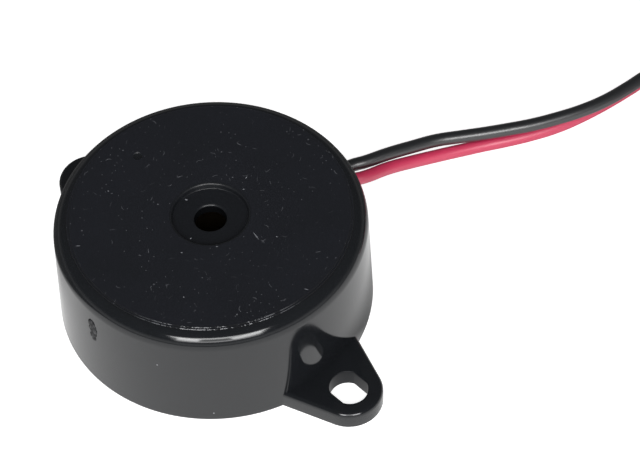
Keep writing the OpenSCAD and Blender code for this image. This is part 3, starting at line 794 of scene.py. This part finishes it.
def rolled_brass():
    """Brass shim from the rolling mill: warm and satin, with fine straight rolling lines."""
    material, tree, place = new_material("brass_rolled")
    along = add(tree, "ShaderNodeMapping", inputs={"Vector": place, "Scale": (1, 25, 1)})
    lines = add(tree, "ShaderNodeTexNoise", inputs={
        "Vector": along.outputs[0], "Scale": per_mm(2.0), "Detail": 4.0})
    brass_cloud = add(tree, "ShaderNodeTexNoise", inputs={"Vector": place, "Scale": per_mm(4.0), "Detail": 3.0})
    # painted shade: both brass tones are darkened to brown-grey, for the plate seen in shade through the
    # port
    tone = add(tree, "ShaderNodeMix", {"data_type": "RGBA"}, {
        0: brass_cloud.outputs["Fac"], 6: shade("#6a5a48"), 7: shade("#7c6a54")})
    roughness = add(tree, "ShaderNodeMapRange", inputs={
        "Value": lines.outputs["Fac"], "To Min": 0.3, "To Max": 0.5})
    bump = add(tree, "ShaderNodeBump", inputs={
        "Height": lines.outputs["Fac"], "Strength": 0.2, "Distance": 0.003 * MM})
    shader = add(tree, "ShaderNodeBsdfPrincipled", inputs={
        "Base Color": tone.outputs[2], "Metallic": 1.0, "Roughness": roughness.outputs["Result"],
        "Normal": bump.outputs["Normal"]})
    finish_material(tree, shader.outputs[0])
    return material


def silvered_ceramic():
    """Fired piezo ceramic under a screen-printed silver electrode: chalky silver, pale biscuit edge."""
    material, tree, place = new_material("piezo_ceramic_silvered")
    split = add(tree, "ShaderNodeSeparateXYZ", inputs={0: place})
    flat = add(tree, "ShaderNodeCombineXYZ", inputs={"X": split.outputs["X"], "Y": split.outputs["Y"]})
    out = add(tree, "ShaderNodeVectorMath", {"operation": "LENGTH"}, {0: flat.outputs[0]})
    printed = add(tree, "ShaderNodeMath", {"operation": "LESS_THAN"}, {0: out.outputs["Value"], 1: 9.4 * MM})
    frit = add(tree, "ShaderNodeTexNoise", inputs={"Vector": place, "Scale": per_mm(0.3), "Detail": 3.0})
    silver = add(tree, "ShaderNodeMix", {"data_type": "RGBA"}, {
        0: frit.outputs["Fac"], 6: shade("#b9bab8"), 7: shade("#d6d7d4")})
    tone = add(tree, "ShaderNodeMix", {"data_type": "RGBA"}, {
        0: printed.outputs[0], 6: shade("#cfc6a8"), 7: silver.outputs[2]})
    bump = add(tree, "ShaderNodeBump", inputs={
        "Height": frit.outputs["Fac"], "Strength": 0.4, "Distance": 0.01 * MM})
    shader = add(tree, "ShaderNodeBsdfPrincipled", inputs={
        "Base Color": tone.outputs[2], "Metallic": printed.outputs[0], "Roughness": 0.45,
        "Normal": bump.outputs["Normal"]})
    finish_material(tree, shader.outputs[0])
    return material


def cured_adhesive():
    """Milky cured adhesive: a slightly wet-looking film with small bubbles."""
    material, tree, place = new_material("adhesive_cured")
    bubbles = add(tree, "ShaderNodeTexVoronoi", inputs={"Vector": place, "Scale": per_mm(0.5)})
    tone = add(tree, "ShaderNodeMix", {"data_type": "RGBA"}, {
        0: bubbles.outputs["Distance"], 6: shade("#d8d5c9"), 7: shade("#efede5")})
    bump = add(tree, "ShaderNodeBump", inputs={
        "Height": bubbles.outputs["Distance"], "Strength": 0.5, "Distance": 0.02 * MM})
    shader = add(tree, "ShaderNodeBsdfPrincipled", inputs={
        "Base Color": tone.outputs[2], "Roughness": 0.3, "Normal": bump.outputs["Normal"], "IOR": 1.47})
    finish_material(tree, shader.outputs[0])
    return material


def board_laminate():
    """Glass-epoxy board: green mask over copper tracks, with the weave just showing through."""
    material, tree, place = new_material("board_laminate")
    weave = add(tree, "ShaderNodeTexChecker", inputs={
        "Vector": place, "Scale": per_mm(0.4), "Color1": shade("#2b5636"), "Color2": shade("#2f5d3a")})
    turned = add(tree, "ShaderNodeMapping", inputs={"Vector": place, "Rotation": (0, 0, math.radians(45))})
    tracks = add(tree, "ShaderNodeTexBrick", {"offset": 0.5}, {
        "Vector": turned.outputs[0], "Scale": per_mm(3.2), "Mortar Size": 0.07,
        "Color1": (0, 0, 0, 1), "Color2": (0, 0, 0, 1), "Mortar": (1, 1, 1, 1)})
    tone = add(tree, "ShaderNodeMix", {"data_type": "RGBA"}, {
        0: tracks.outputs["Fac"], 6: weave.outputs["Color"], 7: shade("#4d8a4a")})
    bump = add(tree, "ShaderNodeBump", inputs={
        "Height": tracks.outputs["Fac"], "Strength": 0.5, "Distance": 0.03 * MM})
    shader = add(tree, "ShaderNodeBsdfPrincipled", inputs={
        "Base Color": tone.outputs[2], "Roughness": 0.28, "Normal": bump.outputs["Normal"], "IOR": 1.55})
    finish_material(tree, shader.outputs[0])
    return material


def tinned(name, dull, bright, roughness):
    """Tin run over copper: grey-white metal with soft frosty crystals."""
    material, tree, place = new_material(name)
    frost = add(tree, "ShaderNodeTexNoise", inputs={"Vector": place, "Scale": per_mm(0.3), "Detail": 3.0})
    tone = add(tree, "ShaderNodeMix", {"data_type": "RGBA"}, {
        0: frost.outputs["Fac"], 6: shade(dull), 7: shade(bright)})
    bump = add(tree, "ShaderNodeBump", inputs={
        "Height": frost.outputs["Fac"], "Strength": 0.4, "Distance": 0.01 * MM})
    shader = add(tree, "ShaderNodeBsdfPrincipled", inputs={
        "Base Color": tone.outputs[2], "Metallic": 1.0, "Roughness": roughness,
        "Normal": bump.outputs["Normal"]})
    finish_material(tree, shader.outputs[0])
    return material


def chip_moulding(name, dark, light, axis, middle, reach):
    """A moulded or glazed chip; past reach mm from its middle along the axis it is tinned metal."""
    material, tree, place = new_material(name)
    grain = add(tree, "ShaderNodeTexNoise", inputs={"Vector": place, "Scale": per_mm(0.1), "Detail": 2.0})
    tone = add(tree, "ShaderNodeMix", {"data_type": "RGBA"}, {
        0: grain.outputs["Fac"], 6: shade(dark), 7: shade(light)})
    split = add(tree, "ShaderNodeSeparateXYZ", inputs={0: place})
    off = add(tree, "ShaderNodeMath", {"operation": "SUBTRACT"}, {0: split.outputs[axis], 1: middle * MM})
    away = add(tree, "ShaderNodeMath", {"operation": "ABSOLUTE"}, {0: off.outputs[0]})
    metal = add(tree, "ShaderNodeMath", {"operation": "GREATER_THAN"}, {0: away.outputs[0], 1: reach * MM})
    colour = add(tree, "ShaderNodeMix", {"data_type": "RGBA"}, {
        0: metal.outputs[0], 6: tone.outputs[2], 7: shade("#c4c6c8")})
    bump = add(tree, "ShaderNodeBump", inputs={
        "Height": grain.outputs["Fac"], "Strength": 0.3, "Distance": 0.01 * MM})
    shader = add(tree, "ShaderNodeBsdfPrincipled", inputs={
        "Base Color": colour.outputs[2], "Metallic": metal.outputs[0], "Roughness": 0.35,
        "Normal": bump.outputs["Normal"]})
    finish_material(tree, shader.outputs[0])
    return material


# ---- The pieces and their finishes ----

black_points = lead_points(BLACK_ROUTE, BLACK_REST_Z)
red_points = lead_points(RED_ROUTE, RED_REST_Z)
LEADS = {
    "black": (black_points, extruded_pvc("pvc_black", "#1c1e20", "#232528", 0.34)),
    "red": (red_points, extruded_pvc("pvc_red", "#e2305e", "#ec3c68", 0.42)),
}
for colour, (points, pvc) in LEADS.items():
    piece = insulation(colour + "_insulation", points)
    piece.data.materials.append(pvc)
    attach(piece, "root")
    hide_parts(colour + "_lead", colour + "_lead_coil")

solder = tinned("solder_bright", "#b4b7ba", "#cfd2d4", 0.22)
strands = tinned("copper_tinned", "#aeb0b2", "#c9cacc", 0.32)
FINISHES = {
    "back_cover": cover_abs(),
    "spacer_ring": spacer_abs(),
    "adhesive_ring": cured_adhesive(),
    "diaphragm_plate": rolled_brass(),
    "ceramic_disc": silvered_ceramic(),
    "circuit_board": board_laminate(),
    "transistor": chip_moulding("chip_epoxy", "#18181a", "#1e1e20", "Y", 3.2, 0.66),
    "base_resistor": chip_moulding("chip_glaze_base", "#1f1f24", "#28282e", "X", 4.6, 1.08),
    "bias_resistor": chip_moulding("chip_glaze_bias", "#1f1f24", "#28282e", "X", 4.6, 1.08),
    "feedback_resistor": chip_moulding("chip_glaze_feedback", "#1f1f24", "#28282e", "X", -4.6, 1.08),
    "plate_wire": extruded_pvc("jumper_white", "#cfcfca", "#dcdcd8", 0.3),
    "main_wire": extruded_pvc("jumper_red", "#b82b28", "#cc3431", 0.3),
    "feedback_wire": extruded_pvc("jumper_blue", "#2a66a2", "#3374b6", 0.3),
    "disc_solder": solder,
    "board_solder": solder,
    "black_lead_tail": strands,
    "red_lead_tail": strands,
    "black_lead_tip": strands,
    "red_lead_tip": strands,
}
for name, finish in FINISHES.items():
    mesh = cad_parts[name].data
    mesh.materials.clear()
    mesh.materials.append(finish)

housing = make_housing()
housing.name = "housing_moulding"
for finish in (polished_abs(), textured_abs(), satin_abs(), core_abs(),
               torn_abs(), witness_abs(), port_abs(), slot_abs()):
    housing.data.materials.append(finish)
TEXTURED, SATIN, CORE, TORN, WITNESSED, PORT, SLOTTED = range(1, 8)
for face in housing.data.polygons:
    at = face.center / MM
    out = math.hypot(at.x, at.y)
    by_gate = at.z > EAR_T and abs(math.atan2(at.y, at.x) - GATE_A) < GATE_REACH
    past_x, past_y = abs(abs(at.x) - EAR_X) - SLOT_L / 2, abs(at.y) - SLOT_W / 2
    if at.z > LAND_Z - WITNESS and min(abs(out - FIELD_R), abs(out - LAND_R)) < WITNESS / 2:
        face.material_index = WITNESSED
    elif at.z > LAND_Z - HAIR and DISH_R < out < LAND_R:
        face.material_index = TEXTURED
    elif at.z > CHAMBER_TOP + HAIR and out < DISH_R + HAIR:
        # the port's inside takes the painted-shade finish
        face.material_index = PORT if at.z < DISH_Z - PORT_ROUND * 0.6 else SATIN
    elif at.z < CHAMBER_TOP + HAIR and out < SEAT_R + HAIR:
        face.material_index = CORE
    elif by_gate and out > wall_r(at.z) + GATE_STAND:
        face.material_index = TORN
    elif HAIR < at.z < EAR_T - HAIR and max(past_x, past_y) < SLOT_MARGIN:
        face.material_index = SLOTTED
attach(housing, "root")
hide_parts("housing")

# ---- Floor, lights and world ----

# painted light for glossy rays: how the paper's glow fades along a direction, or outwards (None), from
# a start to an end in mm, between two levels; the last two paint the body's own shadow on the leads' side
PAINTED_FLOOR_LIGHT = {
    "under": (None, 15, 22, 1.0, 0.0),
    "near": (None, 50, 150, 1.0, 0.1),
    "right": ((-0.985, 0.174, 0), 9, 21, 1.0, 0.0),
    "front": ((-0.88, 0.47, 0), 0, 16, 1.0, 0.0),
    "shade_side": ((0.68, 0.73, 0), 13.5, 14.6, 0.0, 0.75),
    "shade_close": (None, 15, 17.8, 1.0, 0.0),
}


def white_paper():
    """White paper under and in front of the part; glossy rays see only a painted glow on it, bright in
    front, fading dark behind, with a painted shadow.
    """
    material, tree, place = new_material("white_paper")
    material.cycles.emission_sampling = "NONE"
    rays = add(tree, "ShaderNodeLightPath")
    out = add(tree, "ShaderNodeVectorMath", {"operation": "LENGTH"}, {0: place})
    fade = {}
    for name, (way, start, end, first, last) in PAINTED_FLOOR_LIGHT.items():
        run = out if way is None else add(
            tree, "ShaderNodeVectorMath", {"operation": "DOT_PRODUCT"}, {0: place, 1: way})
        fade[name] = add(tree, "ShaderNodeMapRange", {"interpolation_type": "SMOOTHSTEP"}, {
            "Value": run.outputs["Value"], "From Min": start * MM, "From Max": end * MM,
            "To Min": first, "To Max": last}).outputs["Result"]
    ahead = add(tree, "ShaderNodeMath", {"operation": "MULTIPLY"}, {
        0: fade["front"], 1: fade["right"]})
    ahead = add(tree, "ShaderNodeMath", {"operation": "MULTIPLY"}, {
        0: ahead.outputs[0], 1: fade["near"]})
    lit = add(tree, "ShaderNodeMath", {"operation": "MAXIMUM"}, {
        0: ahead.outputs[0], 1: fade["under"]})
    # painted shadow of the body on the leads' side
    shadow = add(tree, "ShaderNodeMath", {"operation": "MULTIPLY"}, {
        0: fade["shade_side"], 1: fade["shade_close"]})
    open_part = add(tree, "ShaderNodeMath", {"operation": "SUBTRACT"}, {0: 1.0, 1: shadow.outputs[0]})
    lit = add(tree, "ShaderNodeMath", {"operation": "MULTIPLY"}, {
        0: lit.outputs[0], 1: open_part.outputs[0]})
    # painted light: the glow that glossy rays see follows the fades above, not the lamps
    glow = add(tree, "ShaderNodeMath", {"operation": "MULTIPLY_ADD"}, {
        0: lit.outputs[0], 1: 0.83, 2: 0.1})
    lift = add(tree, "ShaderNodeMix", {"data_type": "FLOAT"}, {
        0: rays.outputs["Is Camera Ray"], 2: glow.outputs[0], 3: 0.8})
    seen = add(tree, "ShaderNodeMath", {"operation": "MAXIMUM"}, {
        0: rays.outputs["Is Camera Ray"], 1: rays.outputs["Is Glossy Ray"]})
    strength = add(tree, "ShaderNodeMath", {"operation": "MULTIPLY"}, {
        0: seen.outputs[0], 1: lift.outputs[0]})
    paper = add(tree, "ShaderNodeMix", {"data_type": "RGBA"}, {
        0: rays.outputs["Is Glossy Ray"], 6: shade("#f2f2f2"), 7: shade("#000000")})
    diffuse = add(tree, "ShaderNodeBsdfDiffuse", inputs={"Color": paper.outputs[2]})
    emission = add(tree, "ShaderNodeEmission", inputs={
        "Color": (1, 1, 1, 1), "Strength": strength.outputs[0]})
    both = add(tree, "ShaderNodeAddShader", inputs={0: diffuse.outputs[0], 1: emission.outputs[0]})
    finish_material(tree, both.outputs[0])
    return material


bpy.ops.mesh.primitive_plane_add(size=4, location=(0, 0, -0.02 * MM))
floor = bpy.context.object
floor.name = "floor"
floor.data.materials.append(white_paper())


def softbox(name, azimuth, elevation, distance, width, height, radiance):
    """A rectangular lamp that faces the body's centre, as bright as the radiance says."""
    data = bpy.data.lights.new(name, "AREA")
    data.shape = "RECTANGLE"
    data.size, data.size_y = width, height
    data.energy = radiance * math.pi * width * height
    lamp = bpy.data.objects.new(name, data)
    a, e = math.radians(azimuth), math.radians(elevation)
    lamp.location = (
        distance * math.cos(e) * math.cos(a),
        distance * math.cos(e) * math.sin(a),
        distance * math.sin(e),
    )
    lamp.rotation_euler = (math.pi / 2 - e, 0, a + math.pi / 2)
    bpy.context.scene.collection.objects.link(lamp)
    return lamp


# azimuth and elevation in degrees, distance, width and height in metres, radiance
LAMPS = {
    "key_broad": (-40.5, 38, 0.8, 0.76, 0.44, 1.3),
    "key_upper": (-40.5, 47, 0.79, 0.69, 0.11, 5.0),
    "key_lower": (-40.5, 27.5, 0.79, 0.69, 0.09, 2.2),
    "key_left": (-60.5, 37, 0.78, 0.16, 0.2, 8.0),
    "key_right": (-22.0, 37, 0.78, 0.22, 0.18, 8.0),
    "fill": (-120, 80, 1.2, 1.0, 1.0, 0.9),
}
for name, numbers in LAMPS.items():
    softbox(name, *numbers).visible_glossy = name != "fill"

# a dim studio, lighter low down and towards the keys; plain white where the camera sees it
world = bpy.data.worlds.new("studio")
bpy.context.scene.world = world
world.use_nodes = True
tree = world.node_tree
tree.nodes.clear()
direction = add(tree, "ShaderNodeTexCoord")
split = add(tree, "ShaderNodeSeparateXYZ", inputs={0: direction.outputs["Generated"]})
dusk = add(tree, "ShaderNodeMapRange", {"interpolation_type": "SMOOTHSTEP"}, {
    "Value": split.outputs["Z"], "From Min": 0.05, "From Max": 0.4, "To Min": 1.0, "To Max": 0.0})
side = add(tree, "ShaderNodeVectorMath", {"operation": "DOT_PRODUCT"}, {
    0: direction.outputs["Generated"], 1: (0.73, -0.68, 0)})
ahead = add(tree, "ShaderNodeMapRange", {"interpolation_type": "SMOOTHSTEP"}, {
    "Value": side.outputs["Value"], "From Min": -0.2, "From Max": 0.6, "To Min": 0.16, "To Max": 0.5})
low_light = add(tree, "ShaderNodeMath", {"operation": "MULTIPLY"}, {
    0: dusk.outputs["Result"], 1: ahead.outputs["Result"]})
studio_light = add(tree, "ShaderNodeMath", {"operation": "ADD"}, {0: low_light.outputs[0], 1: 0.05})
rays = add(tree, "ShaderNodeLightPath")
strength = add(tree, "ShaderNodeMix", {"data_type": "FLOAT"}, {
    0: rays.outputs["Is Camera Ray"], 2: studio_light.outputs[0], 3: 1.0})
background = add(tree, "ShaderNodeBackground", inputs={
    "Color": (1, 1, 1, 1), "Strength": strength.outputs[0]})
add(tree, "ShaderNodeOutputWorld", inputs={"Surface": background.outputs[0]})

bpy.context.view_layer.update()
